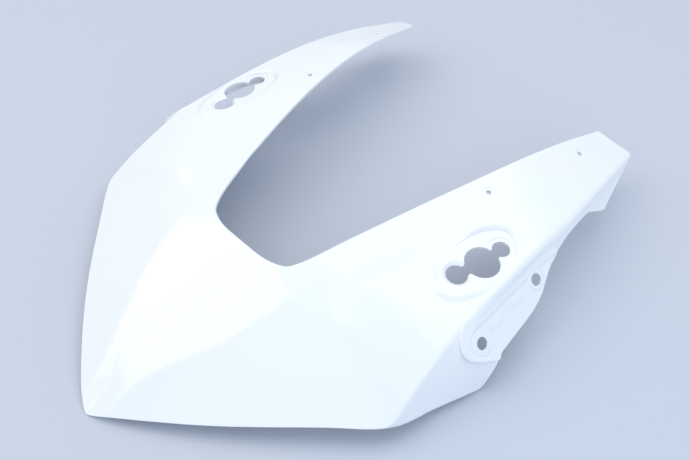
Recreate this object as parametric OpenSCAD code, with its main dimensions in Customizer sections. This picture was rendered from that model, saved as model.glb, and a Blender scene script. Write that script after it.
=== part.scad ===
// Front upper cowl of a sports motorcycle, the bare moulding round the windscreen.
// Millimetres, +Z up. The nose points to -Y, the two arms to +Y, the plane X = 0 is its mirror plane.
// It lies face up on the nose tip and on the two lower corners behind it.

/* [Overall] */
// Greatest width, measured over the lower corners behind the nose
overall_width = 441; // [400:1:480]
// Length from the nose tip to the ends of the arms
overall_length = 535.3; // [490:0.1:580]
// Height of the highest point of the arms over the plane that it rests on
crown_height = 84.1; // [77:0.1:92]
// Thickness of the moulded wall
wall = 3; // [2.6:0.1:3.4]

/* [Edges] */
// Rounding where the front facet of the nose bends into the top facet
brow_radius = 26; // [15:1:34]
// Rounding of the crease between the top facet and the side panel
crease_radius = 14; // [8:0.5:20]
// Rounding of the fold between the side panel and the side wall
fold_radius = 5; // [4:0.25:7]
// Width of the turned-in lip along the headlight edge
lip_width = 6; // [4:0.25:8]
// Thickness of the free end of that lip
lip_edge = 1.5; // [1:0.1:2]

/* [Windscreen screws] */
// Diameter of the four windscreen screw holes
screw_diameter = 5; // [4:0.1:6.5]
// Diameter of the shallow dimple round each screw hole
screw_dimple = 11; // [9:0.5:13]
// Depth of that dimple
screw_dimple_depth = 0.5; // [0.3:0.1:0.8]

/* [Mirror seat] */
// Length of the flat oval seat along the arm
seat_length = 90; // [86:1:96]
// Width of the flat oval seat across the arm
seat_width = 46; // [44:0.5:52]
// Distance between the two mirror stud holes
stud_spacing = 49; // [44:0.5:53]
// Diameter of the front stud hole
front_stud_hole = 19; // [17:0.25:21]
// Diameter of the rear stud hole
rear_stud_hole = 16; // [14:0.25:18]
// Diameter of the cable hole between the stud holes
cable_hole = 31; // [29:0.5:32]
// Width of the necks that join the three holes
neck_width = 9.5; // [7:0.25:11]
// Height of the bead round the seat
seat_bead = 0.8; // [0.5:0.1:1.2]
// Width of that bead
bead_width = 1.6; // [1:0.1:2.4]
// Width of the low ring round the rear stud hole
rear_ring = 2.5; // [2:0.1:3.2]
// Depth of the stiffening rim behind the seat
seat_rim_depth = 9; // [8:0.25:12]
// Depth of the collar round the front stud hole, below the seat
stud_collar = 7; // [5:0.5:8]
// Wall of that collar
stud_collar_wall = 2.5; // [2:0.1:3]

/* [Side flange] */
// Distance between the two holes of the side flange
flange_spacing = 80.5; // [76:0.5:85]
// Diameter of the two holes of the side flange
flange_hole = 11; // [9:0.25:12]
// Radius of the rounded lower end of the side flange
flange_end_radius = 18.5; // [17:0.25:20]
// Depth of the step behind the edge of the side flange
flange_step = 8; // [7:0.25:10]
// Depth of the flat field of the flange below its rim
flange_recess = 0.8; // [0.5:0.1:1]
// Width of the rim along the inner edge of the flange
flange_rim = 4; // [3:0.25:5]
// Width of the ring round the lower hole
lower_ring = 5.5; // [3:0.25:6.5]
// Width of the ring round the upper hole
upper_ring = 4; // [3:0.25:5]
// Length of the two raised pads between the holes
pad_length = 15; // [8:0.5:18]
// Width of those pads
pad_width = 7; // [4:0.25:9]

/* [Hidden] */

// Scale of the guide points, which are written for the design size with the sharp nose tip at Y = 0
kx = overall_width / 441;
ky = overall_length / 535.3;
kz = crown_height / 84.1;
// Middle of the finished length, and the resting plane, in guide coordinates
middle_y = 268.023;
rest_z = 0.477;
function place(p) = [p.x * kx, (p.y - middle_y) * ky, (p.z - rest_z) * kz];

// Guide lines of the right half, each knot is a band position and its point.
// The band position runs from 0 on the mirror plane over 1 at the front corner to 4 at the arm end.
opening_line = [
    [0, [0, 182.5, 74.2]], [0.12, [6, 182.6, 74.1]], [0.6, [33, 184.8, 73]], [0.8, [44, 188.6, 72.7]],
    [1, [51.5, 194.5, 72.9]], [1.12, [56, 202.5, 74.4]], [1.5, [70, 246, 80]], [2, [87.5, 309, 84]],
    [2.5, [101.5, 367, 84]], [3, [112, 424, 79.4]], [3.5, [119, 475, 69.4]], [4, [124.8, 524.5, 54.3]]];
crease_line = [
    [0, [0, 22.5, 14.2]], [0.06, [11.8, 33.2, 21.2]], [0.12, [22.4, 47.2, 29.8]], [0.2, [32.8, 66.4, 37.6]],
    [0.3, [43.6, 88, 43.4]], [0.4, [53.4, 107.5, 48.7]], [0.6, [66.3, 143.5, 58]], [0.8, [73.6, 172.3, 64.8]],
    [1, [79, 193, 68.5]], [1.5, [94, 237, 74.5]], [2, [118, 308, 79]], [2.5, [132, 367, 78.6]],
    [3, [141, 423, 72.7]], [4, [142, 529.5, 46.5]]];
fold_line = [
    [0, [0, 0, 1.8]], [0.035, [5.5, 1.8, 3]], [0.12, [20.3, 10.1, 7.7]], [0.25, [48.6, 29.9, 12]],
    [0.45, [88.6, 60.4, 16.3]], [0.65, [124.5, 91.7, 19.4]], [0.85, [168.4, 133, 21.8]],
    [0.95, [189.2, 152.2, 21.6]],
    [1.03, [199.5, 165, 23.6]], [1.12, [198.3, 181, 33.8]], [1.3, [195.3, 213, 48.8]], [1.5, [193, 245, 59.2]],
    [2, [190, 304, 64.4]], [2.5, [185.7, 362, 65.1]], [3, [180.6, 418, 61.5]], [3.5, [171, 475, 53.3]],
    [4, [158.3, 537, 36.8]]];
edge_line = [
    [0, [0, 1.5, 0.4]], [0.035, [5, 3.6, 1.4]], [0.12, [19.6, 11.8, 6]], [0.25, [47.8, 31.5, 10.3]],
    [0.45, [87.8, 62, 14.6]], [0.65, [123.7, 93.3, 17.8]], [0.85, [167.6, 134.6, 20]],
    [0.95, [188.7, 153.8, 19.4]], [1.06, [200.8, 169, 18.3]], [1.25, [209.5, 207.5, 12.2]],
    [1.4, [217.3, 239, 7.8]], [1.46, [220, 251, 6.45]],
    [1.51, [220.6, 257, 12]], [1.58, [219.8, 270, 25]], [1.66, [214, 277, 29.5]], [1.8, [205, 288, 33]],
    [2.1, [196.5, 320, 38.5]], [2.5, [192, 357, 44.5]],
    [2.72, [190.2, 380, 49.5]], [2.85, [187.4, 393, 53]], [3.1, [182.9, 421.5, 52.5]], [3.25, [181, 434, 51]],
    [3.4, [181.2, 441.3, 47.2]], [3.7, [182.2, 453, 39.8]], [4, [182.6, 462, 35.8]]];
// Direction of the lip beyond the edge line, for a lip of unit width
lip_line = [
    [0, [0, 0.95, 0.08]], [0.12, [-0.5, 0.8, 0.08]], [0.9, [-0.62, 0.75, 0]], [1.1, [-0.7, 0.25, -0.6]],
    [1.38, [-0.5, 0.1, -0.85]], [1.46, [-0.4, 0, -0.9]], [1.53, [0, 0, -0.2]],
    [1.6, [0.08, 0, -0.16]], [1.7, [0.08, 0, -0.16]], [4, [0.08, 0, -0.16]]];

// Smooth curve through the knots, even in the band position so that it is level across the mirror plane
function knot_s(k, i) = i < 0 ? -k[1][0] : k[i][0];
function knot_p(k, i) = i < 0 ? [-k[1][1].x, k[1][1].y, k[1][1].z] : k[i][1];
function rate(k, i) = (knot_p(k, i + 1) - knot_p(k, i)) / (knot_s(k, i + 1) - knot_s(k, i));
function slope(k, i) = i == len(k) - 1 ? rate(k, i - 1) :
    let (h0 = knot_s(k, i) - knot_s(k, i - 1), h1 = knot_s(k, i + 1) - knot_s(k, i))
    (rate(k, i - 1) * h1 + rate(k, i) * h0) / (h0 + h1);
function span(k, s, i = 0) = i >= len(k) - 2 || s < k[i + 1][0] ? i : span(k, s, i + 1);
function guide(k, s) =
    let (i = span(k, s), h = knot_s(k, i + 1) - knot_s(k, i), u = (s - knot_s(k, i)) / h)
    (2 * pow(u, 3) - 3 * u * u + 1) * knot_p(k, i) + (pow(u, 3) - 2 * u * u + u) * h * slope(k, i)
    + (3 * u * u - 2 * pow(u, 3)) * knot_p(k, i + 1) + (pow(u, 3) - u * u) * h * slope(k, i + 1);

// The brow stands proud of the line from the opening to the crease, at the nose only
brow_share = 0.79;
brow_height = 8;
brow_reach = 0.2;
function brow_point(s) =
    let (a = guide(opening_line, s), c = guide(crease_line, s), f = max(0, 1 - pow(s / brow_reach, 2)))
    a + (c - a) * brow_share + [0, 0, brow_height * f * f];

// Section of the shell at one band position: opening, brow, crease, fold, edge and lip
function section_knots(s) =
    let (e = guide(edge_line, s), l = guide(lip_line, s))
    [place(guide(opening_line, s)), place(brow_point(s)), place(guide(crease_line, s)),
     place(guide(fold_line, s)), place(e), place(e) + lip_width * l];
// The side panel is full in front of the mirror seat, the side wall below it at the end of the flange
panel_bulge = 4.5;
wall_bulge = 3.2;
function fullness(s) = panel_bulge * exp(-pow((s - 1.35) / 0.55, 2));
function wall_fullness(s) = wall_bulge * exp(-pow((s - 1.48) / 0.14, 2));
edge_radius = 2;
inner_edge_radius = 0.6;
corner_radii = [0, brow_radius, crease_radius, fold_radius, edge_radius, 0];
inner_radii =
    [0, brow_radius - wall / 2, crease_radius - wall / 2, fold_radius - 0.8 * wall, inner_edge_radius, 0];
leg_steps = [2, 1, 4, 2, 1];
corner_steps = [0, 2, 3, 3, 1, 0];
function leg_length(g, k) = norm(g[k + 1] - g[k]);
function cut_back(g, r, k) = k == 0 || k == 5 ? 0 :
    min(r[k], 0.45 * leg_length(g, k - 1), 0.45 * leg_length(g, k));
function along(g, k, d) = g[k] + (g[k + 1] - g[k]) * d / leg_length(g, k);
function bulge(k, t, s) = 4 * t * (1 - t) *
    (k == 2 ? [0, 0, fullness(s)] : k == 3 ? wall_fullness(s) * [0.88, 0, 0.47] : [0, 0, 0]);
function section(g, r, s) =
    [for (k = [0:4])
        let (a = cut_back(g, r, k), b = leg_length(g, k) - cut_back(g, r, k + 1))
        each concat(
            [for (i = [(k == 0 ? 0 : 1):leg_steps[k]])
                let (t = i / leg_steps[k])
                along(g, k, a + (b - a) * t) + bulge(k, t, s)],
            k == 4 ? [] : let (p = along(g, k, b), q = along(g, k + 1, cut_back(g, r, k + 1)))
                [for (i = [1:corner_steps[k + 1]])
                    let (t = i / corner_steps[k + 1])
                    (1 - t) * (1 - t) * p + 2 * t * (1 - t) * g[k + 1] + t * t * q])];

// Inner skin: the section knots set in by the wall, mitred where two panels meet. Up to the front corner
// the turned-in lip lies under the panel without a gap, and the inner skin ends above it.
lip_root = 3;
front_corner = [0.95, 1.2];
function mix(a, b, f) = a + (b - a) * f;
function unit(v) = v / norm(v);
function knot_way(s, k) = s == 0 ? [1, 0, 0] : section_knots(s + 0.01)[k] - section_knots(s - 0.01)[k];
function inner_knots(s) =
    let (g = section_knots(s),
         n = [for (k = [0:4]) [for (e = [k, k + 1]) unit(cross(knot_way(s, e), g[k + 1] - g[k]))]],
         mitred = [for (k = [1:4]) g[k] + wall * (n[k - 1][1] + n[k][0]) / (1 + n[k - 1][1] * n[k][0])],
         p = n[2][1],
         u = unit(g[3] - g[2]),
         q = g[5] - lip_root * u,
         root = q + (wall - (q - g[3]) * p) * p,
         last = g[5] - lip_edge * p,
         f = min(1, max(0, (s - front_corner[0]) / (front_corner[1] - front_corner[0]))))
    [g[0] + wall * n[0][0], mitred[0], mitred[1],
     mix(root, mitred[2], f), mix((root + last) / 2, mitred[3], f),
     mix(last, g[5] + wall * n[4][1], f)];

// Band positions of the sections, closer at the tip and at the two corners
station_spans = [[0, 0.12, 4], [0.12, 0.85, 6], [0.85, 1.15, 6], [1.15, 1.4, 2], [1.4, 1.65, 4], [1.65, 4, 12]];
half_stations = [
    for (p = station_spans) each [for (i = [1:p[2]]) p[0] + (p[1] - p[0]) * i / p[2]]];
function mirrored(p) = [-p.x, p.y, p.z];
function both_halves(right) = concat(
    [for (i = [len(right) - 1:-1:1]) [for (p = right[i]) mirrored(p)]],
    right);
right_stations = concat([0], half_stations);
outer_grid = both_halves([for (s = right_stations) section(section_knots(s), corner_radii, s)]);
inner_grid = both_halves([for (s = right_stations) section(inner_knots(s), inner_radii, s)]);
rows = len(outer_grid);
cols = len(outer_grid[0]);

module shell() {
    n = rows * cols;
    polyhedron(
        points = concat([for (r = outer_grid) each r], [for (r = inner_grid) each r]),
        faces = concat(
            [for (i = [0:rows - 2], j = [0:cols - 2]) each [
                [i * cols + j, (i + 1) * cols + j, (i + 1) * cols + j + 1],
                [i * cols + j, (i + 1) * cols + j + 1, i * cols + j + 1],
                [n + i * cols + j, n + (i + 1) * cols + j + 1, n + (i + 1) * cols + j],
                [n + i * cols + j, n + i * cols + j + 1, n + (i + 1) * cols + j + 1]]],
            [for (i = [0:rows - 2]) each [
                [i * cols, n + i * cols, n + (i + 1) * cols],
                [i * cols, n + (i + 1) * cols, (i + 1) * cols],
                [i * cols + cols - 1, (i + 1) * cols + cols - 1, n + (i + 1) * cols + cols - 1],
                [i * cols + cols - 1, n + (i + 1) * cols + cols - 1, n + i * cols + cols - 1]]],
            [for (j = [0:cols - 2]) each [
                [j, j + 1, n + j + 1],
                [j, n + j + 1, n + j],
                [(rows - 1) * cols + j, n + (rows - 1) * cols + j, n + (rows - 1) * cols + j + 1],
                [(rows - 1) * cols + j, n + (rows - 1) * cols + j + 1, (rows - 1) * cols + j + 1]]]),
        convexity = 12);
}

// Outlines of the plane features
function arc(c, r, a0, a1, steps) = [
    for (i = [0:steps]) let (a = a0 + (a1 - a0) * i / steps) c + r * [cos(a), sin(a)]];
function ellipse(a, b, steps) = [for (i = [0:steps - 1]) [a * cos(360 * i / steps), b * sin(360 * i / steps)]];

// Frame of a plane feature: local x along the feature, local z out of the shell
module at_frame(o, x, z) {
    n = unit(z);
    u = unit(x - n * (x * n));
    v = cross(n, u);
    multmatrix([[u.x, v.x, n.x, o.x], [u.y, v.y, n.y, o.y], [u.z, v.z, n.z, o.z], [0, 0, 0, 1]]) children();
}
function tilted(n) = [n.x / kx, n.y / ky, n.z / kz];

// How far a cutter runs past the faces that it opens
past = 20;

// Flat oval seat of the mirror, proud at its front and sunk at its rear
seat_origin = place([160.3, 310.8, 70.8]);
seat_normal = tilted([0.18, 0.05, 1]);
seat_along = [5.5 * kx, 49.1 * ky, 0];
seat_centre = [-3.6, -0.2];
seat_turn = 8;
front_stud = [-stud_spacing / 2, 1];
rear_stud = [stud_spacing / 2, -1];
cable_centre = [1.5, -3];
module in_seat() at_frame(seat_origin, seat_along, seat_normal) children();
module seat_oval(inset, depth, height)
    translate([seat_centre.x, seat_centre.y, -depth])
        rotate(seat_turn)
            linear_extrude(depth + height)
                polygon(ellipse(seat_length / 2 - inset, seat_width / 2 - inset, 44));
// Round bore or boss at a place in a feature's plane
module round_at(p, d, low, high) translate([p.x, p.y, low]) cylinder(h = high - low, d = d, $fn = 40);
module neck(p, q) {
    d = q - p;
    translate([p.x, p.y, -past])
        rotate(atan2(d.y, d.x))
            translate([0, -neck_width / 2, 0]) cube([norm(d), neck_width, 2 * past]);
}
module seat_block() in_seat() seat_oval(0, seat_rim_depth, seat_bead);
module seat_cuts() in_seat() {
    difference() {
        seat_oval(bead_width, 0, past);
        round_at(rear_stud, rear_stud_hole + 2 * rear_ring, -wall, seat_bead);
    }
    difference() {
        translate([0, 0, -wall]) seat_oval(wall, past, 0);
        round_at(front_stud, front_stud_hole + 2 * stud_collar_wall, -stud_collar, 0);
    }
    round_at(front_stud, front_stud_hole, -past, past);
    round_at(cable_centre, cable_hole, -past, past);
    round_at(rear_stud, rear_stud_hole, -past, past);
    neck(front_stud, cable_centre);
    neck(cable_centre, rear_stud);
}

// Side flange: a plateau below the fold that carries the lower panel
flange_origin = place([202, 304.2, 46]);
flange_normal = tilted([0.7677, 0.0598, 0.6381]);
flange_along = [-9.7 * kx, 80.2 * ky, 4.2 * kz];
half_pitch = flange_spacing / 2;
module in_flange() at_frame(flange_origin, flange_along, flange_normal) children();
end_r = flange_end_radius;
end_centre = [-half_pitch - 2.5, 0];
free_edge = [
    [-half_pitch + 6, -end_r - 5.5], [-half_pitch + 12.5, -end_r - 0.6], [-10, -end_r - 0.2],
    [8, -end_r - 0.3], [20, -18], [30, -16.1], [40, -12.7], [48, -8.7], [56, -4.7], [65, -1.5],
    [72, -0.3], [75.3, 0.9], [76.6, 3.4], [76, 6.4], [74.2, 9], [71, 10.8]];
flange_outline = concat(arc(end_centre, end_r, 87, 256, 16), free_edge);
function inner_flange(d) = concat(
    arc(end_centre, end_r - d, 87, 262, 16),
    [[-half_pitch, -60], [66, -60], [66, -8], [76.2 - d, 2], [76 - d, 6.4 - d / 2], [71 - d / 2, 10.8 - d]]);
function flange_field(d) = concat(
    arc(end_centre, end_r - d, 87, 262, 16),
    [[-half_pitch + 4, -50], [90, -50], [90, 1], [68, 4], [62, 11.2 - d]]);
pad_corner = 2.4;
pad_height = 0.6;
pad_offset = 2.4;
pad_places = [-half_pitch + 22, half_pitch - 27];
module flange_block() in_flange()
    translate([0, 0, -flange_step]) linear_extrude(flange_step) polygon(flange_outline);
module flange_cuts() in_flange() {
    translate([0, 0, -flange_step - past])
        linear_extrude(flange_step + past - wall) polygon(inner_flange(wall));
    difference() {
        translate([0, 0, -flange_recess]) linear_extrude(past) polygon(flange_field(flange_rim));
        round_at([-half_pitch, 0], flange_hole + 2 * lower_ring, -wall, 0);
        round_at([half_pitch, 0], flange_hole + 2 * upper_ring, -wall, 0);
        for (u = pad_places)
            translate([u, pad_offset, -wall])
                linear_extrude(wall - flange_recess + pad_height)
                    polygon(rounded_pad(pad_length, pad_width, pad_corner));
    }
    round_at([-half_pitch, 0], flange_hole, -past, past);
    round_at([half_pitch, 0], flange_hole, -past, past);
}
function rounded_pad(l, w, r) = [
    for (k = [0:3], x = (k == 0 || k == 3 ? 1 : -1) * (l / 2 - r), y = (k < 2 ? 1 : -1) * (w / 2 - r),
        p = arc([x, y], r, 90 * k, 90 * k + 90, 4)) p];

// Windscreen screw holes, given by band position and share of the way from the opening to the crease
screw_places = [[2.52, 0.56], [3.54, 0.7]];
function top_point(s, f) = let (g = section_knots(s)) g[0] + (g[2] - g[0]) * f;
function top_normal(s, f) =
    unit(cross(top_point(s, f + 0.3) - top_point(s, f - 0.3), top_point(s + 0.1, f) - top_point(s - 0.1, f)));
module screw_cuts()
    for (p = screw_places)
        at_frame(top_point(p[0], p[1]), [0, 1, 0], top_normal(p[0], p[1])) {
            round_at([0, 0], screw_diameter, -past, past);
            round_at([0, 0], screw_dimple, -screw_dimple_depth, past);
        }

module both_sides() {
    children();
    mirror([1, 0, 0]) children();
}

module nose_cowl() {
    color("white")
        difference() {
            union() {
                shell();
                both_sides() {
                    seat_block();
                    flange_block();
                }
            }
            both_sides() {
                seat_cuts();
                flange_cuts();
                screw_cuts();
            }
        }
}

nose_cowl();
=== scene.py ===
"""Bare white upper cowl of a sports motorcycle, lying face up on a pale floor.

The moulding is one free-form shell. Its section is worked out as whole arrays from the same guide
lines as the solid in the frame, on a finer grid, and its mirror seats, side flanges and holes are
then cut and joined from carried profiles with rounded edges.
"""

import logging
from dataclasses import dataclass, field
from enum import Enum
from typing import ClassVar

import bmesh
import bpy
import numpy as np
from mathutils import Matrix, Vector

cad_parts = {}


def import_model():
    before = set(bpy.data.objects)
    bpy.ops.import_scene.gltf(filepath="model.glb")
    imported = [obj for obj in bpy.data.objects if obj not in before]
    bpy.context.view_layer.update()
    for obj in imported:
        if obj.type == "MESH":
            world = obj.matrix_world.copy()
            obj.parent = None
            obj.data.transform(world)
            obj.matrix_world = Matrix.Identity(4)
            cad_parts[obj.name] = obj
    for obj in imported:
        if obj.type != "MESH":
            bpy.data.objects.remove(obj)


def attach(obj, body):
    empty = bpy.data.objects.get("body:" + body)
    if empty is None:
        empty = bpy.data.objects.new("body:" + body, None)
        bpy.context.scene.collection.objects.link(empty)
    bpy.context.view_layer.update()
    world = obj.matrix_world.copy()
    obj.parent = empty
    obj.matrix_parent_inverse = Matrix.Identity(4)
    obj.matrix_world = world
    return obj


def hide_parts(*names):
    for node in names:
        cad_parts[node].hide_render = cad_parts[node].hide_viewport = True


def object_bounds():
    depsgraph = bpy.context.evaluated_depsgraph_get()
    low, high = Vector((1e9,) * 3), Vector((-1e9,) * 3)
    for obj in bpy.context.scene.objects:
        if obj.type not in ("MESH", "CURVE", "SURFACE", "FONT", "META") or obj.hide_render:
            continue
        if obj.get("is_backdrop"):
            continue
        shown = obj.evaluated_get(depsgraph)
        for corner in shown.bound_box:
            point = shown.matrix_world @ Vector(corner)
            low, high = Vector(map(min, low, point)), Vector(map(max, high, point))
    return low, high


LOG = logging.getLogger("cowl_scene")
MILLIMETRE = 0.001
# Where the frame's origin lies among the guide lines, in millimetres
MIDDLE = np.array([0.0, 268.023, 0.477])
# Thickness of the moulding, in millimetres
WALL = 3.0
# Angles of a quarter-round edge, in radians
QUARTER = np.radians(np.linspace(0, 90, 6))
Point = tuple[float, float, float]
Colour = tuple[float, float, float, float]
Knots = tuple[tuple[float, Point], ...]
Profile = list[tuple[float, float]]


class Cut(Enum):
    """How a tool solid is combined with the moulding."""

    JOIN = "UNION"
    TAKE = "DIFFERENCE"


class Leg(Enum):
    """The straight stretches of the section, in order from the windscreen opening."""

    BROW = 0
    TOP = 1
    PANEL = 2
    WALL = 3
    LIP = 4


@dataclass(frozen=True)
class GuideLine:
    """A smooth line through knots, each a band position and a point in millimetres.

    Between two knots the line is a cubic with the knots' slopes; a slope is the mean of the rates
    on either side, each weighted by the other side's length. Below zero the line is its own mirror
    image. Its bends are evened by the mean of several shifted copies, out to the spread times the
    reach, which is given by band position.
    """

    knots: Knots
    reach: ClassVar[np.ndarray] = np.array((
        (0, 0.006), (0.15, 0.03), (0.3, 0.05), (0.8, 0.04), (0.95, 0.012), (1.7, 0.012),
        (2.1, 0.06), (3.8, 0.06), (4, 0)))
    copies: ClassVar[int] = 13
    spread: ClassVar[float] = 2.0

    def points(self, band: np.ndarray) -> np.ndarray:
        """The line with its bends evened: a bell-weighted mean over a short reach along the line.

        Args:
            band: band positions, at least zero.

        Returns:
            One point a row, in millimetres.
        """
        offset = np.linspace(-self.spread, self.spread, self.copies)
        weight = np.exp(-(offset**2) / 2)
        reach = np.interp(band, self.reach[:, 0], self.reach[:, 1])
        at = band[:, None] + reach[:, None] * offset
        p = self.cubic(np.abs(at).ravel()).reshape(*at.shape, 3)
        p[..., 0] *= np.where(at < 0, -1, 1)
        return np.tensordot(weight / weight.sum(), p, axes=(0, 1))

    def cubic(self, band: np.ndarray) -> np.ndarray:
        """Evaluates the bare cubic stretches at many band positions.

        Args:
            band: band positions, at least zero.

        Returns:
            One point a row, in millimetres.
        """
        s = np.array([k[0] for k in self.knots])
        p = np.array([k[1] for k in self.knots])
        s = np.concatenate([[-s[1]], s])
        p = np.vstack([p[1] * [-1, 1, 1], p])
        step = np.diff(s)[:, None]
        rate = np.diff(p, axis=0) / step
        inner = (rate[:-1] * step[1:] + rate[1:] * step[:-1]) / (step[:-1] + step[1:])
        slope = np.vstack([rate[:1], inner, rate[-1:]])
        i = np.clip(np.searchsorted(s, band, side="right") - 1, 1, len(s) - 2)
        h = step[i]
        u = ((band - s[i]) / step[i, 0])[:, None]
        return (
            (2 * u**3 - 3 * u**2 + 1) * p[i]
            + (u**3 - 2 * u**2 + u) * h * slope[i]
            + (3 * u**2 - 2 * u**3) * p[i + 1]
            + (u**3 - u**2) * h * slope[i + 1]
        )


OPENING = GuideLine((
    (0, (0, 182.5, 74.2)), (0.12, (6, 182.6, 74.1)), (0.6, (33, 184.8, 73)),
    (0.8, (44, 188.6, 72.7)), (1, (51.5, 194.5, 72.9)), (1.12, (56, 202.5, 74.4)),
    (1.5, (70, 246, 80)), (2, (87.5, 309, 84)), (2.5, (101.5, 367, 84)), (3, (112, 424, 79.4)),
    (3.5, (119, 475, 69.4)), (4, (124.8, 524.5, 54.3))))
CREASE = GuideLine((
    (0, (0, 22.5, 14.2)), (0.06, (11.8, 33.2, 21.2)), (0.12, (22.4, 47.2, 29.8)),
    (0.2, (32.8, 66.4, 37.6)), (0.3, (43.6, 88, 43.4)), (0.4, (53.4, 107.5, 48.7)),
    (0.6, (66.3, 143.5, 58)), (0.8, (73.6, 172.3, 64.8)), (1, (79, 193, 68.5)),
    (1.5, (94, 237, 74.5)), (2, (118, 308, 79)), (2.5, (132, 367, 78.6)), (3, (141, 423, 72.7)),
    (4, (142, 529.5, 46.5))))
FOLD = GuideLine((
    (0, (0, 0, 1.8)), (0.035, (5.5, 1.8, 3)), (0.12, (20.3, 10.1, 7.7)), (0.25, (48.6, 29.9, 12)),
    (0.45, (88.6, 60.4, 16.3)), (0.65, (124.5, 91.7, 19.4)), (0.85, (168.4, 133, 21.8)),
    (0.95, (189.2, 152.2, 21.6)), (1.03, (199.5, 165, 23.6)), (1.12, (198.3, 181, 33.8)),
    (1.3, (195.3, 213, 48.8)), (1.5, (193, 245, 59.2)), (2, (190, 304, 64.4)),
    (2.5, (185.7, 362, 65.1)), (3, (180.6, 418, 61.5)), (3.5, (171, 475, 53.3)),
    (4, (158.3, 536.95, 36.8))))
EDGE = GuideLine((
    (0, (0, 1.5, 0.4)), (0.035, (5, 3.6, 1.4)), (0.12, (19.6, 11.8, 6)), (0.25, (47.8, 31.5, 10.3)),
    (0.45, (87.8, 62, 14.6)), (0.65, (123.7, 93.3, 17.8)), (0.85, (167.6, 134.6, 20)),
    (0.95, (188.7, 153.8, 19.4)), (1.06, (200.8, 169, 18.3)), (1.25, (209.5, 207.5, 12.2)),
    (1.4, (217.3, 239, 7.8)), (1.46, (219.9, 251, 6.45)), (1.51, (220.4, 257, 12)),
    (1.58, (219.6, 270, 25)), (1.66, (214, 277, 29.5)), (1.8, (205, 288, 33)),
    (2.1, (196.5, 320, 38.5)), (2.5, (192, 357, 44.5)), (2.72, (190.2, 380, 49.5)),
    (2.85, (187.4, 393, 53)), (3.1, (182.9, 421.5, 52.5)), (3.25, (181, 434, 51)),
    (3.4, (181.2, 441.3, 47.2)), (3.7, (182.2, 453, 39.8)), (4, (182.6, 462, 35.8))))
# The direction of the lip, as a share of its width
LIP = GuideLine((
    (0, (0, 0.95, 0.08)), (0.12, (-0.5, 0.8, 0.08)), (0.9, (-0.62, 0.75, 0)),
    (1.1, (-0.7, 0.25, -0.6)), (1.38, (-0.5, 0.1, -0.85)), (1.46, (-0.4, 0, -0.9)),
    (1.53, (0, 0, -0.2)), (1.6, (0.08, 0, -0.16)), (1.7, (0.08, 0, -0.16)),
    (4, (0.08, 0, -0.16))))


def ramp(x: np.ndarray, start: float | np.ndarray, end: float | np.ndarray) -> np.ndarray:
    """Rises from nought at the start to one at the end: three t squared less two t cubed."""
    t = np.clip((x - start) / (end - start), 0, 1)
    return t * t * (3 - 2 * t)


def bell(x: np.ndarray, centre: float, spread: float) -> np.ndarray:
    """A bell of height one: e to the minus square of the distance over the spread."""
    return np.exp(-(((x - centre) / spread) ** 2))


def unit(v: np.ndarray) -> np.ndarray:
    """Vectors of the last axis at unit length."""
    return v / np.linalg.norm(v, axis=-1, keepdims=True)


def dot(a: np.ndarray, b: np.ndarray) -> np.ndarray:
    """Scalar products along the last axis, kept as a column."""
    return np.sum(a * b, axis=-1, keepdims=True)


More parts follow.
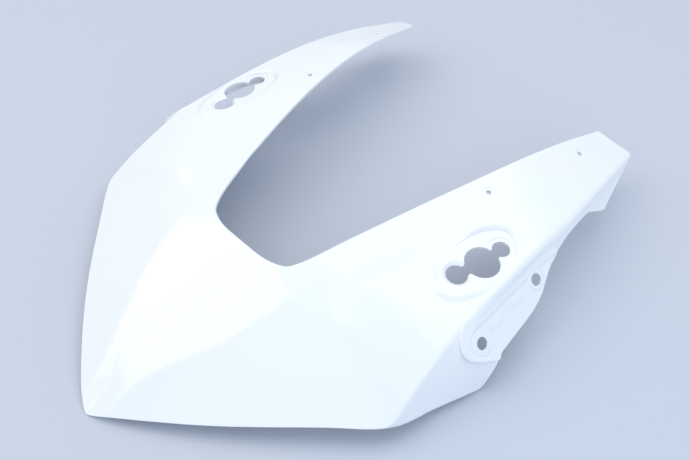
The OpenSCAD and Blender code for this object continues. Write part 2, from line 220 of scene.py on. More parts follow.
@dataclass
class Shell:
    """The free-form moulding without its plane features, in millimetres.

    Every band position gives a section of six knots: opening, brow, crease, fold, edge and lip. The
    bends are rounded, and the inner skin is a second section whose knots are set in by the wall.
    A value that ends in band, spread, start, span, reach or step counts along the band.
    """

    wall: float = WALL
    lip_width: float = 6.0
    brow_share: float = 0.79
    brow_height: float = 8.0
    brow_reach: float = 0.2
    panel_bulge: float = 4.5
    panel_bulge_band: float = 1.35
    panel_bulge_spread: float = 0.55
    panel_bulge_way: Point = (0, 0, 1.0)
    wall_bulge: float = 3.2
    wall_bulge_band: float = 1.48
    wall_bulge_spread: float = 0.14
    wall_bulge_way: Point = (0.88, 0, 0.47)
    lip_edge: float = 1.5
    lip_root: float = 3.0
    free_lip_start: float = 0.95
    free_lip_span: float = 0.25
    rim_round: float = 0.7
    rim_share: float = 0.3
    bend_share: float = 0.45
    corner_thinning: float = 0.35
    corner_band: float = 1.53
    corner_spread: float = 0.1
    way_step: float = 0.05
    corner_radii: tuple[float, ...] = (0, 26, 14, 5, 2, 0)
    inner_radii: tuple[float, ...] = (0, 24.5, 12.5, 2.6, 0.6, 0)
    leg_steps: tuple[int, ...] = (9, 8, 30, 8, 3)
    corner_steps: tuple[int, ...] = (0, 7, 8, 8, 4, 0)
    band_spans: tuple[tuple[float, float, int], ...] = (
        (0, 0.12, 14), (0.12, 0.85, 26), (0.85, 1.2, 20), (1.2, 1.4, 8), (1.4, 1.7, 22),
        (1.7, 2.5, 44), (2.5, 4, 40))

    def bands(self) -> np.ndarray:
        """Band positions of the right half's sections, closer at the tip and the two corners."""
        parts = [a + (b - a) * np.arange(1, n + 1) / n for a, b, n in self.band_spans]
        return np.concatenate([[0.0], *parts])

    def knots(self, band: np.ndarray) -> np.ndarray:
        """Section knots at many band positions.

        The brow stands proud of the line from opening to crease by a bell that fades out away from
        the mirror plane; the lip leaves the edge along its own direction.

        Args:
            band: band positions.

        Returns:
            An array of band positions by six knots by three coordinates.
        """
        opening, crease = OPENING.points(band), CREASE.points(band)
        fade = np.maximum(0, 1 - (band / self.brow_reach) ** 2)
        brow = opening + (crease - opening) * self.brow_share
        brow[:, 2] += self.brow_height * fade**2
        edge = EDGE.points(band)
        lip = edge + self.lip_width * LIP.points(band)
        return np.stack([opening, brow, crease, FOLD.points(band), edge, lip], axis=1) - MIDDLE

    def inner_knots(self, band: np.ndarray) -> np.ndarray:
        """Section knots of the inner skin.

        A knot is set in along the sum of the two neighbouring panels' normals, so that both stay
        one wall away. Up to the front corner the lip lies under the panel without a gap and the
        inner skin ends above it; the two kinds are mixed over a short stretch behind that corner.
        The wall is thinner round the sharp lower corner.

        Args:
            band: band positions.

        Returns:
            An array like that of the section knots.
        """
        g = self.knots(band)
        thinning = self.corner_thinning * bell(band, self.corner_band, self.corner_spread)
        wall = self.wall * (1 - thinning)[:, None]
        way = self.knots(band + self.way_step) - self.knots(np.maximum(band - self.way_step, 0))
        way[band == 0] = np.array([1.0, 0, 0])
        leg = g[:, 1:] - g[:, :-1]
        start = unit(np.cross(way[:, :-1], leg))
        end = unit(np.cross(way[:, 1:], leg))
        before, after = end[:, :-1], start[:, 1:]
        mitred = g[:, 1:-1] + wall[:, None] * (before + after) / (1 + dot(before, after))
        p, u = end[:, 2], unit(leg[:, 2])
        fold, tip = g[:, 3], g[:, 5]
        back = tip - self.lip_root * u
        root = back + (wall - dot(back - fold, p)) * p
        last = tip - self.lip_edge * p
        f = np.clip((band - self.free_lip_start) / self.free_lip_span, 0, 1)[:, None]
        return np.stack([
            g[:, 0] + wall * start[:, 0], mitred[:, 0], mitred[:, 1],
            root + (mitred[:, 2] - root) * f,
            (root + last) / 2 + (mitred[:, 3] - (root + last) / 2) * f,
            last + (tip + wall * end[:, 4] - last) * f], axis=1)

    def section(self, g: np.ndarray, radii: tuple[float, ...], band: np.ndarray) -> np.ndarray:
        """Columns of a section: straight legs with a parabolic bulge, joined by rounded bends.

        A bend is the quadratic curve whose middle control point is the knot and whose ends lie the
        radius back along both legs, never more than the bend's share of a leg.

        Args:
            g: section knots.
            radii: how far each bend reaches back along its legs.
            band: band positions.

        Returns:
            An array of band positions by columns by three coordinates.
        """
        length = np.linalg.norm(np.diff(g, axis=1), axis=-1)
        back = np.zeros(g.shape[:2])
        for k in range(1, 5):
            shorter = np.minimum(length[:, k - 1], length[:, k])
            back[:, k] = np.minimum(radii[k], self.bend_share * shorter)
        panel = self.panel_bulge * bell(band, self.panel_bulge_band, self.panel_bulge_spread)
        wall = self.wall_bulge * bell(band, self.wall_bulge_band, self.wall_bulge_spread)
        lift = {
            Leg.PANEL: panel[:, None] * np.array(self.panel_bulge_way),
            Leg.WALL: wall[:, None] * np.array(self.wall_bulge_way)}
        columns = []
        for leg in Leg:
            k = leg.value
            way = (g[:, k + 1] - g[:, k]) / length[:, k, None]
            a, b = back[:, k], length[:, k] - back[:, k + 1]
            t = np.arange(0 if k == 0 else 1, self.leg_steps[k] + 1) / self.leg_steps[k]
            d = a[:, None] + (b - a)[:, None] * t
            stretch = g[:, k, None] + way[:, None] * d[..., None]
            if leg in lift:
                stretch = stretch + (4 * t * (1 - t))[None, :, None] * lift[leg][:, None]
            columns.append(stretch)
            if leg is not Leg.LIP:
                steps = self.corner_steps[k + 1]
                t = (np.arange(1, steps + 1) / steps)[None, :, None]
                onward = (g[:, k + 2] - g[:, k + 1]) / length[:, k + 1, None]
                p = (g[:, k + 1] - way * back[:, k + 1, None])[:, None]
                q = (g[:, k + 1] + onward * back[:, k + 1, None])[:, None]
                columns.append((1 - t) ** 2 * p + 2 * t * (1 - t) * g[:, k + 1, None] + t**2 * q)
        return np.concatenate(columns, axis=1)

    def skins(self, seat: "MirrorSeat") -> tuple[np.ndarray, np.ndarray]:
        """Outer and inner skin of the whole moulding, from the arm end at -x to the one at +x.

        Args:
            seat: the mirror seat that the outer skin swells and dips towards.

        Returns:
            Two arrays of sections by columns by three coordinates, in millimetres.
        """
        band = self.bands()
        outer = self.section(self.knots(band), self.corner_radii, band)
        inner = self.section(self.inner_knots(band), self.inner_radii, band)
        halves = seat.blended(outer, 0.0), seat.blended(inner, self.wall)
        return tuple(np.concatenate([half[:0:-1] * [-1, 1, 1], half]) for half in halves)

    def rounded_rims(self, outer: np.ndarray, inner: np.ndarray) -> tuple[np.ndarray, np.ndarray]:
        """Rounds the two long rims: each skin gets quarter-circle columns towards the other.

        Args:
            outer: the outer skin.
            inner: the inner skin.

        Returns:
            Both skins with the rim columns added at either end.
        """
        angle = np.radians([0, 22.5, 45, 67.5, 90])[None, :, None]
        for end in (0, -1):
            step = 1 if end == 0 else -1
            last, across = outer[:, end] - outer[:, end + step], inner[:, end] - outer[:, end]
            out, over = unit(last), unit(across)
            depth = np.linalg.norm(across, axis=-1, keepdims=True)
            r = np.minimum(self.rim_round, self.rim_share * depth)[:, None]
            r = np.minimum(r, 0.5 * np.linalg.norm(last, axis=-1)[:, None, None])
            short = r * (1 - np.sin(angle)) * out[:, None]
            turned = r * (1 - np.cos(angle)) * over[:, None]
            curl_out = outer[:, end, None] - short + turned
            curl_in = inner[:, end, None] - short - turned
            if end == 0:
                outer = np.concatenate([curl_out[:, ::-1], outer[:, 1:]], axis=1)
                inner = np.concatenate([curl_in[:, ::-1], inner[:, 1:]], axis=1)
            else:
                outer = np.concatenate([outer[:, :-1], curl_out], axis=1)
                inner = np.concatenate([inner[:, :-1], curl_in], axis=1)
        return outer, inner

    def mesh(self, name: str, seat: "MirrorSeat") -> bpy.types.Mesh:
        """The closed moulding: two skins, joined along the rims and across the arm ends.

        Args:
            name: name of the mesh.
            seat: the mirror seat that the outer skin blends into.

        Returns:
            The mesh, in metres, with its faces pointing outwards.
        """
        outer, inner = self.rounded_rims(*self.skins(seat))
        rows, cols = outer.shape[:2]
        n = rows * cols
        i, j = np.meshgrid(np.arange(rows - 1), np.arange(cols - 1), indexing="ij")
        a = (i * cols + j).ravel()
        front = np.stack([a, a + cols, a + cols + 1, a + 1], axis=1)
        faces = [front, n + front[:, ::-1]]
        r = np.arange(rows - 1) * cols
        faces.append(np.stack([r, n + r, n + r + cols, r + cols], axis=1))
        r = r + cols - 1
        faces.append(np.stack([r, r + cols, n + r + cols, n + r], axis=1))
        c = np.arange(cols - 1)
        faces.append(np.stack([c, c + 1, n + c + 1, n + c], axis=1))
        c = c + (rows - 1) * cols
        faces.append(np.stack([c, n + c, n + c + 1, c + 1], axis=1))
        points = np.concatenate([outer.reshape(-1, 3), inner.reshape(-1, 3)]) * MILLIMETRE
        return quad_mesh(name, points, np.concatenate(faces))


def quad_mesh(name: str, points: np.ndarray, quads: np.ndarray) -> bpy.types.Mesh:
    """A mesh of four-sided faces from whole arrays.

    Args:
        name: name of the mesh.
        points: one point a row, in metres.
        quads: four point numbers a row.

    Returns:
        The mesh, its faces turned outwards.
    """
    mesh = bpy.data.meshes.new(name)
    mesh.vertices.add(len(points))
    mesh.vertices.foreach_set("co", points.astype(np.float32).ravel())
    mesh.loops.add(quads.size)
    mesh.loops.foreach_set("vertex_index", quads.astype(np.int32).ravel())
    mesh.polygons.add(len(quads))
    mesh.polygons.foreach_set("loop_start", np.arange(0, quads.size, 4, dtype=np.int32))
    mesh.update(calc_edges=True)
    turn_outwards(mesh)
    return mesh


def turn_outwards(mesh: bpy.types.Mesh) -> None:
    """Recalculates a closed mesh's face directions so that all point outwards.

    Args:
        mesh: the mesh, changed in place.
    """
    work = bmesh.new()
    work.from_mesh(mesh)
    bmesh.ops.recalc_face_normals(work, faces=work.faces)
    work.to_mesh(mesh)
    work.free()


@dataclass(frozen=True)
class Seat:
    """A plane in which a feature is drawn: local x along the feature, local z out of the moulding.

    Its origin is a guide point, in millimetres.
    """

    origin: Point
    along: Point
    normal: Point

    def axes(self) -> np.ndarray:
        """The plane's own directions.

        Returns:
            Three unit vectors, one a row.
        """
        n = unit(np.array(self.normal, float))
        x = np.array(self.along, float)
        u = unit(x - n * (x @ n))
        return np.stack([u, np.cross(n, u), n])

    def to_frame(self, points: np.ndarray) -> np.ndarray:
        """Local points in millimetres moved to the object's frame."""
        return np.array(self.origin) - MIDDLE + points @ self.axes()

    def to_local(self, points: np.ndarray) -> np.ndarray:
        """Points of the object's frame in millimetres seen from the plane."""
        return (points - np.array(self.origin) + MIDDLE) @ self.axes().T


def inset(outline: np.ndarray, distance: float) -> np.ndarray:
    """A closed outline moved inwards by a small distance along its normals.

    Args:
        outline: one plane point a row, counter-clockwise.
        distance: how far each point moves, in millimetres.

    Returns:
        The moved outline.
    """
    way = unit(np.roll(outline, -1, axis=0) - np.roll(outline, 1, axis=0))
    return outline + distance * np.stack([-way[:, 1], way[:, 0]], axis=1)


def carried(outline: np.ndarray, profile: Profile) -> tuple[np.ndarray, list[list[int]]]:
    """A closed solid: a profile of insets and heights carried round an outline, with flat ends.

    Args:
        outline: one plane point a row, counter-clockwise.
        profile: pairs of inset and height, from the lowest ring to the highest.

    Returns:
        The points, and the faces as lists of point numbers.
    """
    n = len(outline)
    rings = [np.column_stack([inset(outline, d), np.full(n, z)]) for d, z in profile]
    faces = [list(range(n))[::-1], [(len(rings) - 1) * n + i for i in range(n)]]
    i = np.arange(n)
    for k in range(len(rings) - 1):
        j = (i + 1) % n
        low, high = k * n, (k + 1) * n
        faces += np.stack([low + i, low + j, high + j, high + i], axis=1).tolist()
    return np.concatenate(rings), faces


def rounded_top(radius: float, bottom: float, top: float, base: float = 0.0) -> Profile:
    """Profile of a block with a quarter-round upper edge."""
    edge = [(base + radius * (1 - np.cos(a)), top - radius * (1 - np.sin(a))) for a in QUARTER]
    return [(base, bottom)] + edge


def rounded_floor(radius: float, floor: float, top: float) -> Profile:
    """Profile of a cutter whose floor meets its side in a quarter-round."""
    edge = [(radius * (1 - np.sin(a)), floor + radius * (1 - np.cos(a))) for a in QUARTER]
    return edge + [(0.0, top)]


def circle(centre: tuple[float, float], radius: float, steps: int = 64) -> np.ndarray:
    """A circle as a counter-clockwise outline."""
    a = np.linspace(0, 2 * np.pi, steps, endpoint=False)
    return np.array(centre) + radius * np.column_stack([np.cos(a), np.sin(a)])


def arc(
        centre: tuple[float, float], radius: float, start: float, end: float,
        steps: int) -> np.ndarray:
    """Points on a circle from one angle to another, both in degrees."""
    a = np.radians(np.linspace(start, end, steps + 1))
    return np.array(centre) + radius * np.column_stack([np.cos(a), np.sin(a)])


def evened(outline: np.ndarray, spacing: float) -> np.ndarray:
    """The same closed outline with points at even distances along it.

    Args:
        outline: one plane point a row.
        spacing: distance of the new points, in millimetres.

    Returns:
        The new points.
    """
    closed = np.vstack([outline, outline[:1]])
    walk = np.concatenate([[0], np.cumsum(np.linalg.norm(np.diff(closed, axis=0), axis=1))])
    at = np.linspace(0, walk[-1], max(12, int(walk[-1] / spacing)), endpoint=False)
    return np.column_stack([np.interp(at, walk, closed[:, k]) for k in (0, 1)])


def softened(outline: np.ndarray, spacing: float, passes: int) -> np.ndarray:
    """An evened closed outline, rounded by averaging each point with its neighbours.

    Args:
        outline: one plane point a row.
        spacing: distance of the new points, in millimetres.
        passes: how often the points are averaged.

    Returns:
        The rounded outline.
    """
    p = evened(outline, spacing)
    for _ in range(passes):
        p = (np.roll(p, 1, axis=0) + 2 * p + np.roll(p, -1, axis=0)) / 4
    return p


@dataclass
class Workpiece:
    """The moulding while its features are cut: a Blender object and the tools still to be used."""

    body: bpy.types.Object
    points: list[np.ndarray] = field(default_factory=list)
    faces: list[list[int]] = field(default_factory=list)

    def add(self, place: Seat, outline: np.ndarray, profile: Profile) -> None:
        """Adds a carried tool and its mirror image to the next operation.

        Args:
            place: the plane that the tool is drawn in.
            outline: its outline in that plane.
            profile: its insets and heights.
        """
        local, faces = carried(outline, profile)
        right = place.to_frame(local)
        for side in (1.0, -1.0):
            start = sum(len(p) for p in self.points)
            self.points.append(right * [side, 1, 1])
            self.faces += [[start + i for i in (f if side > 0 else f[::-1])] for f in faces]

    def work(self, how: Cut) -> None:
        """Uses the gathered tools on the body with an exact boolean and clears them.

        Args:
            how: whether the tools are joined to the body or taken from it.
        """
        mesh = bpy.data.meshes.new("tool")
        mesh.from_pydata((np.concatenate(self.points) * MILLIMETRE).tolist(), [], self.faces)
        turn_outwards(mesh)
        tool = bpy.data.objects.new("tool", mesh)
        bpy.context.scene.collection.objects.link(tool)
        step = self.body.modifiers.new("step", "BOOLEAN")
        step.operation = how.value
        step.solver = "EXACT"
        step.object = tool
        graph = bpy.context.evaluated_depsgraph_get()
        graph.update()
        made = bpy.data.meshes.new_from_object(self.body.evaluated_get(graph))
        self.body.modifiers.remove(step)
        old = self.body.data
        self.body.data = made
        bpy.data.meshes.remove(old)
        bpy.data.objects.remove(tool)
        bpy.data.meshes.remove(mesh)
        self.points.clear()
        self.faces.clear()
        LOG.info("%s: %d faces", how.name, len(made.polygons))


@dataclass
class MirrorSeat:
    """Flat oval seat of the mirror: proud in front, sunk behind, with one opening of three lobes.

    The front lobe has a dished entry and the rear lobe stands in a shallow round recess. Sizes are
    in millimetres, and a pair of two distances is where something starts and where it is full.
    """

    place: Seat = Seat((160.3, 310.8, 70.8), (5.5, 49.1, 0), (0.18, 0.05, 1))
    centre: tuple[float, float] = (-3.6, -0.2)
    turn: float = 8.0
    length: float = 90.0
    width: float = 46.0
    step: float = 0.7
    softness: float = 0.5
    proud_foot: float = 5.5
    sunk_foot: float = 5.0
    foot_lead: float = 2.0
    sunk_height: tuple[float, float] = (-1.0, 2.0)
    sunk_side: tuple[float, float] = (-8.0, 12.0)
    fold_side: tuple[float, float] = (-20.0, -8.0)
    skin_reach: float = 15.0
    rim_depth: float = 9.0
    block_inset: float = 1.2
    block_drop: float = 0.7
    block_round: float = 0.75
    floor_round: float = 0.3
    pocket_round: float = 0.8
    above: float = 12.0
    wall: float = WALL
    front_stud: tuple[float, float] = (-24.4, 0.6)
    rear_stud: tuple[float, float] = (24.6, -1.2)
    cable: tuple[float, float] = (1.2, -2.8)
    front_radius: float = 9.6
    rear_radius: float = 8.1
    cable_radius: float = 15.8
    neck_half: float = 4.75
    neck_fillet: float = 1.4
    dish_width: float = 2.9
    dish_depth: float = 2.0
    dish_lip: Profile = field(default_factory=lambda: [(0.35, -0.3), (0.1, -0.06), (0, 0.02)])
    recess_radius: float = 12.0
    recess_depth: float = 0.7
    entry_top: float = 6.0
    through: float = 20.0

    def across(self) -> np.ndarray:
        """Turns plane coordinates to the oval's own axes, as a matrix for points in rows."""
        t = np.radians(self.turn)
        return np.array([[np.cos(t), -np.sin(t)], [np.sin(t), np.cos(t)]])

    def oval(self, shrink: float) -> np.ndarray:
        """Ellipse of the seat, its half axes shortened by a distance.

        Args:
            shrink: the distance, in millimetres.

        Returns:
            The outline in the seat's plane, counter-clockwise.
        """
        half = np.array([self.length, self.width]) / 2 - shrink
        return (circle((0, 0), 1.0, 160) * half) @ self.across().T + np.array(self.centre)

    def blended(self, skin: np.ndarray, depth: float) -> np.ndarray:
        """Moves a skin along the seat's normal so that the outer one meets the oval softly.

        Where the outer skin lies below the seat's plane it is lifted to it; where it lies above, it
        dips until only a small step is left, the step times the hyperbolic tangent of its height
        over the step. Outside the oval the shift fades over the foot. Where the skin is above the
        plane, the side towards the fold is left as it is.

        Args:
            skin: points of the skin, in millimetres.
            depth: how far the skin lies under the outer one.

        Returns:
            The moved points.
        """
        local = self.place.to_local(skin)
        p = (local[..., :2] - np.array(self.centre)) @ self.across()
        u, v = p[..., 0] / (self.length / 2), p[..., 1] / (self.width / 2)
        ratio = np.maximum(np.hypot(u, v), 1e-6)
        outside = np.linalg.norm(p, axis=-1) * (1 - 1 / ratio)
        height = local[..., 2] + depth
        above = (height + np.sqrt(height**2 + self.softness**2)) / 2
        target = self.step * np.tanh(above / self.step) - 0.3 * self.softness
        back = ramp(height, *self.sunk_height) * ramp(local[..., 1], *self.sunk_side)
        foot = self.proud_foot + (self.sunk_foot - self.proud_foot) * back
        near = 1 - ramp(outside, -self.foot_lead * (1 - back), foot - self.foot_lead)
        beside = ramp(local[..., 1], *self.fold_side)
        share = near * np.where(height > 0, beside + (1 - beside) * ramp(-height, -1.0, 0.0), 1.0)
        share = share * (np.abs(height) < self.skin_reach)
        return skin + ((target - height) * share)[..., None] * self.place.axes()[2]

    def half_neck(self, lobe: tuple[float, float], radius: float) -> tuple[np.ndarray, float]:
        """One side of the way from the cable hole to a lobe.

        The outline follows a small arc that touches the cable hole and the neck, then one that
        touches the neck and the lobe, then the far half of the lobe.

        Args:
            lobe: centre of the lobe.
            radius: radius of the lobe.

        Returns:
            The points from the lobe's farthest point back to the cable hole, for a neck along +x
            with the cable hole at zero, and the angle at which the cable hole's own arc begins.
        """
        span = float(np.hypot(lobe[0] - self.cable[0], lobe[1] - self.cable[1]))
        r, h = self.neck_fillet, self.neck_half
        near = np.sqrt((self.cable_radius + r) ** 2 - (h + r) ** 2)
        far = span - np.sqrt((radius + r) ** 2 - (h + r) ** 2)
        lobe_turn = float(np.degrees(np.arctan2(h + r, far - span)))
        cable_turn = float(np.degrees(np.arctan2(h + r, near)))
        side = [
            arc((span, 0), radius, 0, lobe_turn, 22),
            arc((far, h + r), r, lobe_turn - 180, -90, 5)[1:],
            arc((near, h + r), r, -90, cable_turn - 180, 5)]
        return np.concatenate(side), cable_turn

    def lobes(self) -> np.ndarray:
        """Outline of the whole opening: the cable hole, two necks and two stud lobes.

        Returns:
            The outline in the seat's plane, counter-clockwise.
        """
        runs, turns = [], []
        studs = (self.rear_stud, self.rear_radius), (self.front_stud, self.front_radius)
        for lobe, radius in studs:
            upper, start = self.half_neck(lobe, radius)
            heading = float(np.arctan2(lobe[1] - self.cable[1], lobe[0] - self.cable[0]))
            both = np.concatenate([(upper * [1, -1])[::-1], upper[1:]])
            c, s = np.cos(heading), np.sin(heading)
            runs.append(both @ np.array([[c, s], [-s, c]]) + np.array(self.cable))
            turns.append((np.degrees(heading), start))
        (h0, t0), (h1, t1) = turns
        h1 = h1 % 360
        return np.concatenate([
            runs[0], arc(self.cable, self.cable_radius, h0 + t0, h1 - t1, 24)[1:-1],
            runs[1], arc(self.cable, self.cable_radius, h1 + t1, h0 + 360 - t0, 24)[1:-1]])

    def block(self, piece: Workpiece) -> None:
        """Adds the material under the seat, out of sight below the skin."""
        top = rounded_top(self.block_round, -self.rim_depth, -self.block_drop, self.block_inset)
        piece.add(self.place, self.oval(0), top)

    def level(self, piece: Workpiece) -> None:
        """Adds the cutter that leaves the flat floor."""
        piece.add(self.place, self.oval(0), rounded_floor(self.floor_round, 0.0, self.above))

    def pocket(self, piece: Workpiece) -> None:
        """Adds the cutter that hollows the seat from behind."""
        top = rounded_top(self.pocket_round, -self.rim_depth - self.above, -self.wall)
        piece.add(self.place, self.oval(self.wall), top)

    def entries(self, piece: Workpiece) -> None:
        """Adds the cutters of the dished entry in front and the shallow recess behind.

        Args:
            piece: the moulding being cut.
        """
        dish = [(self.dish_width, -self.dish_depth), *self.dish_lip, (0, self.entry_top)]
        recess = rounded_floor(self.floor_round, -self.recess_depth, self.entry_top)
        piece.add(self.place, circle(self.front_stud, self.front_radius + self.dish_width), dish)
        piece.add(self.place, circle(self.rear_stud, self.recess_radius), recess)

    def opening(self, piece: Workpiece) -> None:
        """Adds the cutter of the opening."""
        piece.add(self.place, evened(self.lobes(), 0.9), [(0, -self.through), (0, self.through)])


@dataclass
class SideFlange:
    """Plateau below the fold: two round holes, a rim along its inner edge and two raised pads.

    Sizes are in millimetres; heights count from the plateau's top.
    """

    place: Seat = Seat((202, 304.2, 46), (-9.7, 80.2, 4.2), (0.7677, 0.0598, 0.6381))
    half_pitch: float = 40.25
    hole: float = 5.5
    end_radius: float = 18.5
    rim_width: float = 4.7
    step: float = 8.0
    edge_round: float = 0.9
    recess: float = 0.9
    rim_slope: float = 2.6
    rim_lift: float = 0.03
    above: float = 10.0
    wall: float = WALL
    ring_widths: tuple[float, float] = (5.5, 4.0)
    ring_top: float = -0.25
    ring_root: float = -1.9
    ring_round: float = 1.1
    pad_gaps: tuple[float, float] = (22.0, 27.0)
    pad_across: float = 2.4
    pad_length: float = 15.0
    pad_width: float = 7.0
    pad_corner: float = 2.4
    pad_rise: float = 0.6
    pad_root: float = -1.6
    pad_round: float = 0.3
    counterbore: Profile = field(
        default_factory=lambda: [(-1.5, -20), (-1.5, -1.9), (0, -1.4), (0, 20)])

    def outline(self) -> np.ndarray:
        """Outline of the plateau: a slanting round lower end, then the free edge to the upper end.

        Returns:
            The outline in the flange's plane, counter-clockwise.
        """
        h = self.half_pitch
        return softened(np.array([
            (-h - 2, 25), (-h - 9, 22), (-h - 14.2, 17.9), (-h - 18, 12.5), (-h - 20.2, 7),
            (-h - 20.6, 2), (-h - 19, -2.4), (-h - 15.6, -6.6), (-h - 11.9, -10.4), (-h - 7.8, -14),
            (-h - 3.4, -17.1), (-h + 1.1, -20.2), (-h + 4.3, -22.8), (-h + 6.8, -23.4),
            (-h + 8.6, -21.4), (-h + 11, -20.1), (-16, -19.6), (-9, -19.3), (0, -19.1), (8, -18.8),
            (20, -17.9), (30, -16.1), (40, -12.9), (48, -8.7), (56, -4.7), (65, -1.5), (72, -0.3),
            (75.3, 0.9), (76.6, 3.4), (76, 6.4), (74.2, 9), (71, 11.6), (60, 15), (40, 18),
            (0, 22)]), 0.7, 3)

    def inner(self) -> np.ndarray:
        """Outline of the hollow behind the plateau, open towards the free edge.

        Returns:
            The outline in the flange's plane, counter-clockwise.
        """
        h, d = self.half_pitch, self.wall
        return softened(np.array([
            (-h - 3, 21.5 - d), (-h - 9, 20 - d), (-h - 17.2 + 0.6 * d, 11), (-h - 20.4 + d, 4),
            (-h - 18 + d, -1.5), (-h - 12, -6.4), (-h - 3, -13.4), (-h + 5, -19), (-h + 9, -23),
            (-h + 12, -60), (66, -60), (66, -8), (76.2 - d, 2), (76 - d, 6.4 - d / 2),
            (71 - d / 2, 10.8 - d), (0, 16.7 - d)]), 1.2, 2)

    def low_field(self) -> np.ndarray:
        """Outline of the field inside the rim: an arc round the lower hole, then the inner edge.

        Returns:
            The outline in the flange's plane, counter-clockwise.
        """
        h = self.half_pitch
        end = arc((-h, 0.5), self.end_radius - self.rim_width, 100, 258, 30)
        edge = np.array([
            (-h + 3, -50), (90, -50), (90, 1), (66, 4), (58, 6.8), (0, 10.8), (-h + 8, 13.6)])
        return softened(np.concatenate([end, edge]), 1.5, 20)

    def block(self, piece: Workpiece) -> None:
        """Adds the plateau with its rounded upper edge."""
        piece.add(self.place, self.outline(), rounded_top(self.edge_round, -self.step, 0.0))

    def lowering(self, piece: Workpiece) -> None:
        """Adds the cutter of the low field, whose side rises in a soft slope.

        Args:
            piece: the moulding being cut.
        """
        share = np.linspace(1, 0, 9)
        soft = share * share * (3 - 2 * share)
        rise = [(self.rim_slope * a, self.rim_lift - self.recess * b) for a, b in zip(share, soft)]
        piece.add(self.place, self.low_field(), rise + [(0.0, self.above)])

    def pocket(self, piece: Workpiece) -> None:
        """Adds the cutter that hollows the plateau from behind."""
        piece.add(self.place, self.inner(), [(0, -self.step - 18.0), (0, -self.wall)])

    def rings(self, piece: Workpiece) -> None:
        """Adds the low rings round the holes and the two long pads.

        Args:
            piece: the moulding being cut.
        """
        ring = rounded_top(self.ring_round, self.ring_root, self.ring_top)
        for u, width in zip((-self.half_pitch, self.half_pitch), self.ring_widths):
            piece.add(self.place, circle((u, 0), self.hole + width), ring)
        top = rounded_top(self.pad_round, self.pad_root, -self.recess + self.pad_rise)
        low, high = self.pad_gaps
        for u in (-self.half_pitch + low, self.half_pitch - high):
            piece.add(self.place, self.pad(u), top)

    def pad(self, along: float) -> np.ndarray:
        """Rectangle with rounded corners at a place along the flange.

        Args:
            along: place of its middle, in millimetres.

        Returns:
            The outline in the flange's plane, counter-clockwise.
        """
        r, y = self.pad_corner, self.pad_across
        i, j = self.pad_length / 2 - r, self.pad_width / 2 - r
        corners = ((i, j, 0), (-i, j, 90), (-i, -j, 180), (i, -j, 270))
        return np.concatenate([arc((along + a, y + b), r, c, c + 90, 6) for a, b, c in corners])

    def holes(self, piece: Workpiece) -> None:
        """Adds the cutters of the two holes."""
        for u in (-self.half_pitch, self.half_pitch):
            piece.add(self.place, circle((u, 0), self.hole), self.counterbore)


@dataclass
class ScreenScrews:
    """The windscreen's screw holes, each in a shallow dimple, in millimetres.

    A place is a band position and a share of the way from the opening to the crease.
    """

    places: tuple[tuple[float, float], ...] = ((2.52, 0.56), (3.54, 0.7))
    radius: float = 2.5
    through: float = 15.0
    dimple: float = 5.5
    depth: float = 0.5
    dimple_round: float = 0.4
    above: float = 4.0

    def seat(self, shell: Shell, band: float, share: float) -> Seat:
        """Plane of a hole on the line from the opening to the crease.

        Args:
            shell: the moulding.
            band: band position of the hole.
            share: share of the way from the opening to the crease.

        Returns:
            The plane, its normal square to the top.
        """
        def top(b: float, f: float) -> np.ndarray:
            """Point of the top at a band position and a share."""
            g = shell.knots(np.array([b]))[0]
            return g[0] + (g[2] - g[0]) * f

        across = top(band, share + 0.3) - top(band, share - 0.3)
        normal = np.cross(across, top(band + 0.1, share) - top(band - 0.1, share))
        return Seat(tuple(top(band, share) + MIDDLE), (0, 1, 0), tuple(normal))

    def dimples(self, piece: Workpiece, shell: Shell) -> None:
        """Adds the cutters of the dimples.

        Args:
            piece: the moulding being cut.
            shell: its free form.
        """
        dish = rounded_floor(self.dimple_round, -self.depth, self.above)
        for place in self.places:
            piece.add(self.seat(shell, *place), circle((0, 0), self.dimple, 40), dish)

    def holes(self, piece: Workpiece, shell: Shell) -> None:
        """Adds the cutters of the holes.

        Args:
            piece: the moulding being cut.
            shell: its free form.
        """
        bore = [(0, -self.through), (0, self.through)]
        for place in self.places:
            piece.add(self.seat(shell, *place), circle((0, 0), self.radius, 32), bore)


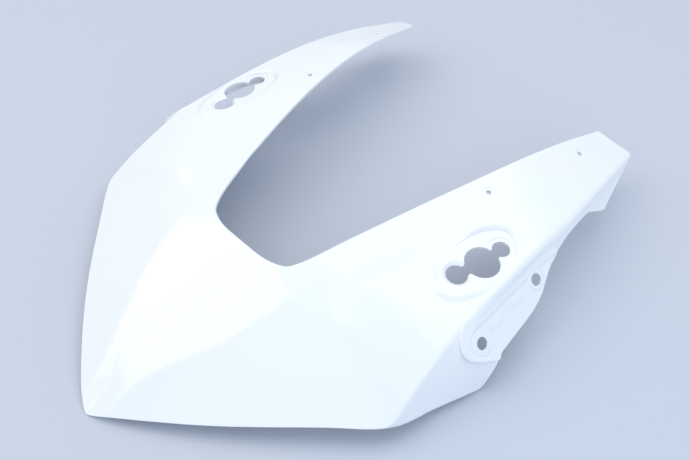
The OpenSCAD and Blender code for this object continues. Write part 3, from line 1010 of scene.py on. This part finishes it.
@dataclass(frozen=True)
class GlossWhite:
    """Glossy white moulded plastic with a faint cool tone and the slight ripple of a moulded skin.

    Scales count the pattern's features to a metre.
    """

    colour: Colour = (0.895, 0.905, 0.905, 1.0)
    cool: Colour = (0.87, 0.89, 0.905, 1.0)
    cloud_scale: float = 7.0
    roughness: float = 0.16
    haze_scale: float = 60.0
    haze_below: float = 0.03
    haze_above: float = 0.04
    ripple_scale: float = 330.0
    ripple_strength: float = 0.05
    ripple_depth: float = 0.0005
    refraction: float = 1.5
    coat: float = 0.35
    coat_roughness: float = 0.06

    def material(self) -> bpy.types.Material:
        """Builds the node-based finish.

        Returns:
            The material, patterned in object coordinates.
        """
        made = bpy.data.materials.new("gloss_white_plastic")
        made.use_nodes = True
        tree = made.node_tree
        tree.nodes.clear()
        add, link = tree.nodes.new, tree.links.new
        out, shader = add("ShaderNodeOutputMaterial"), add("ShaderNodeBsdfPrincipled")
        where = add("ShaderNodeTexCoord")

        def noise(scale: float, detail: float) -> bpy.types.NodeSocket:
            """Strength of a noise pattern at a scale and a level of detail."""
            node = add("ShaderNodeTexNoise")
            node.inputs["Scale"].default_value = scale
            node.inputs["Detail"].default_value = detail
            link(where.outputs["Object"], node.inputs["Vector"])
            return node.outputs["Fac"]

        tone = add("ShaderNodeMix")
        tone.data_type = "RGBA"
        tone.inputs["A"].default_value = self.colour
        tone.inputs["B"].default_value = self.cool
        link(noise(self.cloud_scale, 3.0), tone.inputs["Factor"])
        link(tone.outputs["Result"], shader.inputs["Base Color"])
        span = add("ShaderNodeMapRange")
        span.inputs["To Min"].default_value = self.roughness - self.haze_below
        span.inputs["To Max"].default_value = self.roughness + self.haze_above
        link(noise(self.haze_scale, 2.0), span.inputs["Value"])
        link(span.outputs["Result"], shader.inputs["Roughness"])
        relief = add("ShaderNodeBump")
        relief.inputs["Strength"].default_value = self.ripple_strength
        relief.inputs["Distance"].default_value = self.ripple_depth
        link(noise(self.ripple_scale, 1.0), relief.inputs["Height"])
        link(relief.outputs["Normal"], shader.inputs["Normal"])
        shader.inputs["IOR"].default_value = self.refraction
        shader.inputs["Coat Weight"].default_value = self.coat
        shader.inputs["Coat Roughness"].default_value = self.coat_roughness
        link(shader.outputs["BSDF"], out.inputs["Surface"])
        return made


@dataclass
class Cowl:
    """The whole moulding: shell, mirror seats, side flanges and screw holes as one closed piece.

    Edges sharper than the sharp angle, in degrees, stay sharp in the shading.
    """

    shell: Shell = field(default_factory=Shell)
    seat: MirrorSeat = field(default_factory=MirrorSeat)
    flange: SideFlange = field(default_factory=SideFlange)
    screws: ScreenScrews = field(default_factory=ScreenScrews)
    finish: GlossWhite = field(default_factory=GlossWhite)
    sharp_angle: float = 32.0

    def build(self) -> bpy.types.Object:
        """Builds, cuts and dresses the moulding.

        Returns:
            The finished object, which stands for the solid in the frame.
        """
        body = bpy.data.objects.new("cowl_moulding", self.shell.mesh("cowl_moulding", self.seat))
        bpy.context.scene.collection.objects.link(body)
        piece = Workpiece(body)
        self.seat.block(piece)
        self.flange.block(piece)
        piece.work(Cut.JOIN)
        self.seat.level(piece)
        self.screws.dimples(piece, self.shell)
        piece.work(Cut.TAKE)
        self.flange.lowering(piece)
        self.seat.pocket(piece)
        piece.work(Cut.TAKE)
        self.flange.pocket(piece)
        piece.work(Cut.TAKE)
        self.flange.rings(piece)
        piece.work(Cut.JOIN)
        self.seat.entries(piece)
        piece.work(Cut.TAKE)
        self.seat.opening(piece)
        self.flange.holes(piece)
        self.screws.holes(piece, self.shell)
        piece.work(Cut.TAKE)
        self.dress(body)
        return body

    def dress(self, body: bpy.types.Object) -> None:
        """Smooths the skin up to the sharp angle and gives it its finish.

        Args:
            body: the cut moulding.
        """
        mesh = body.data
        mesh.materials.clear()
        mesh.materials.append(self.finish.material())
        mesh.polygons.foreach_set("material_index", np.zeros(len(mesh.polygons), dtype=np.int32))
        mesh.shade_smooth()
        mesh.set_sharp_from_angle(angle=np.radians(self.sharp_angle))
        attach(body, "root")
        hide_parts("nose_cowl")


@dataclass(frozen=True)
class Lamp:
    """A square soft lamp: name, place and side in metres, power in watts and colour."""

    name: str
    place: Point
    side: float
    power: float
    colour: Point

    def hang(self, target: Point) -> None:
        """Hangs the lamp so that it faces a point.

        Args:
            target: the point, in metres.
        """
        data = bpy.data.lights.new(self.name, "AREA")
        data.shape, data.size = "SQUARE", self.side
        data.energy, data.color = self.power, self.colour
        hung = bpy.data.objects.new(self.name, data)
        way = (Vector(target) - Vector(self.place)).to_track_quat("-Z", "Y")
        hung.matrix_world = Matrix.Translation(self.place) @ way.to_matrix().to_4x4()
        bpy.context.scene.collection.objects.link(hung)


@dataclass
class Studio:
    """Pale floor, soft lamps and the camera, in metres; the lens and its film in millimetres."""

    eye: Point = (0.484, -0.3704, 0.6949)
    right: Point = (0.6838, 0.7284, -0.0532)
    down: Point = (0.5200, -0.5360, -0.6655)
    forward: Point = (-0.5133, 0.4269, -0.7445)
    lens: float = 50.0
    film_width: float = 36.0
    sight: tuple[float, float] = (0.01, 30.0)
    floor_half: float = 6.0
    floor_colour: Colour = (0.56, 0.59, 0.66, 1.0)
    floor_roughness: float = 0.75
    sky_colour: Colour = (0.855, 0.915, 1.0, 1.0)
    sky_strength: float = 0.76
    lamps: tuple[Lamp, ...] = (
        Lamp("key", (-1.3, -0.8, 2.0), 1.9, 17.5, (1.0, 0.985, 0.96)),
        Lamp("top", (0.2, 0.75, 2.1), 1.8, 11.5, (0.97, 0.99, 1.0)),
        Lamp("fill", (1.5, -0.35, 1.05), 1.2, 6.6, (0.42, 0.68, 1.0)))
    lit_point: Point = (0, 0, 0.04)

    def camera(self) -> None:
        """Stands the camera at the photograph's viewing angle."""
        data = bpy.data.cameras.new("view")
        data.lens, data.sensor_width = self.lens, self.film_width
        data.clip_start, data.clip_end = self.sight
        seen = bpy.data.objects.new("view", data)
        axes = Vector(self.right), -Vector(self.down), -Vector(self.forward), Vector(self.eye)
        seen.matrix_world = Matrix([*zip(*axes), (0, 0, 0, 1)])
        bpy.context.scene.collection.objects.link(seen)
        bpy.context.scene.camera = seen

    def floor(self) -> None:
        """Lays the plain floor."""
        h = self.floor_half
        mesh = bpy.data.meshes.new("floor")
        mesh.from_pydata([(-h, -h, 0), (h, -h, 0), (h, h, 0), (-h, h, 0)], [], [(0, 1, 2, 3)])
        paint = bpy.data.materials.new("pale_floor")
        paint.use_nodes = True
        shader = paint.node_tree.nodes["Principled BSDF"]
        shader.inputs["Base Color"].default_value = self.floor_colour
        shader.inputs["Roughness"].default_value = self.floor_roughness
        mesh.materials.append(paint)
        laid = bpy.data.objects.new("floor", mesh)
        bpy.context.scene.collection.objects.link(laid)
        laid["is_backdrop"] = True

    def light(self) -> None:
        """Sets the soft world light and the lamps."""
        world = bpy.data.worlds.new("studio")
        world.use_nodes = True
        back = world.node_tree.nodes["Background"]
        back.inputs["Color"].default_value = self.sky_colour
        back.inputs["Strength"].default_value = self.sky_strength
        bpy.context.scene.world = world
        for lamp in self.lamps:
            lamp.hang(self.lit_point)

    def build(self) -> None:
        """Builds the stage in order."""
        self.camera()
        self.floor()
        self.light()
        bpy.context.scene.view_settings.view_transform = "Standard"


def corners(box: object) -> list[list[float]]:
    """A box of two corners as plain lists of numbers."""
    return [[float(v) for v in corner] for corner in box]


def main() -> None:
    """Builds the stage and the moulding in order and reports each piece."""
    logging.basicConfig(level=logging.INFO, format="%(message)s")
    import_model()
    cad_box = corners(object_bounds())
    Studio().build()
    LOG.info("stage set")
    body = Cowl().build()
    LOG.info("%s: %d faces", body.name, len(body.data.polygons))
    {"cad": cad_box, "visual": corners(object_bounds())}


if __name__ == "__main__":
    main()
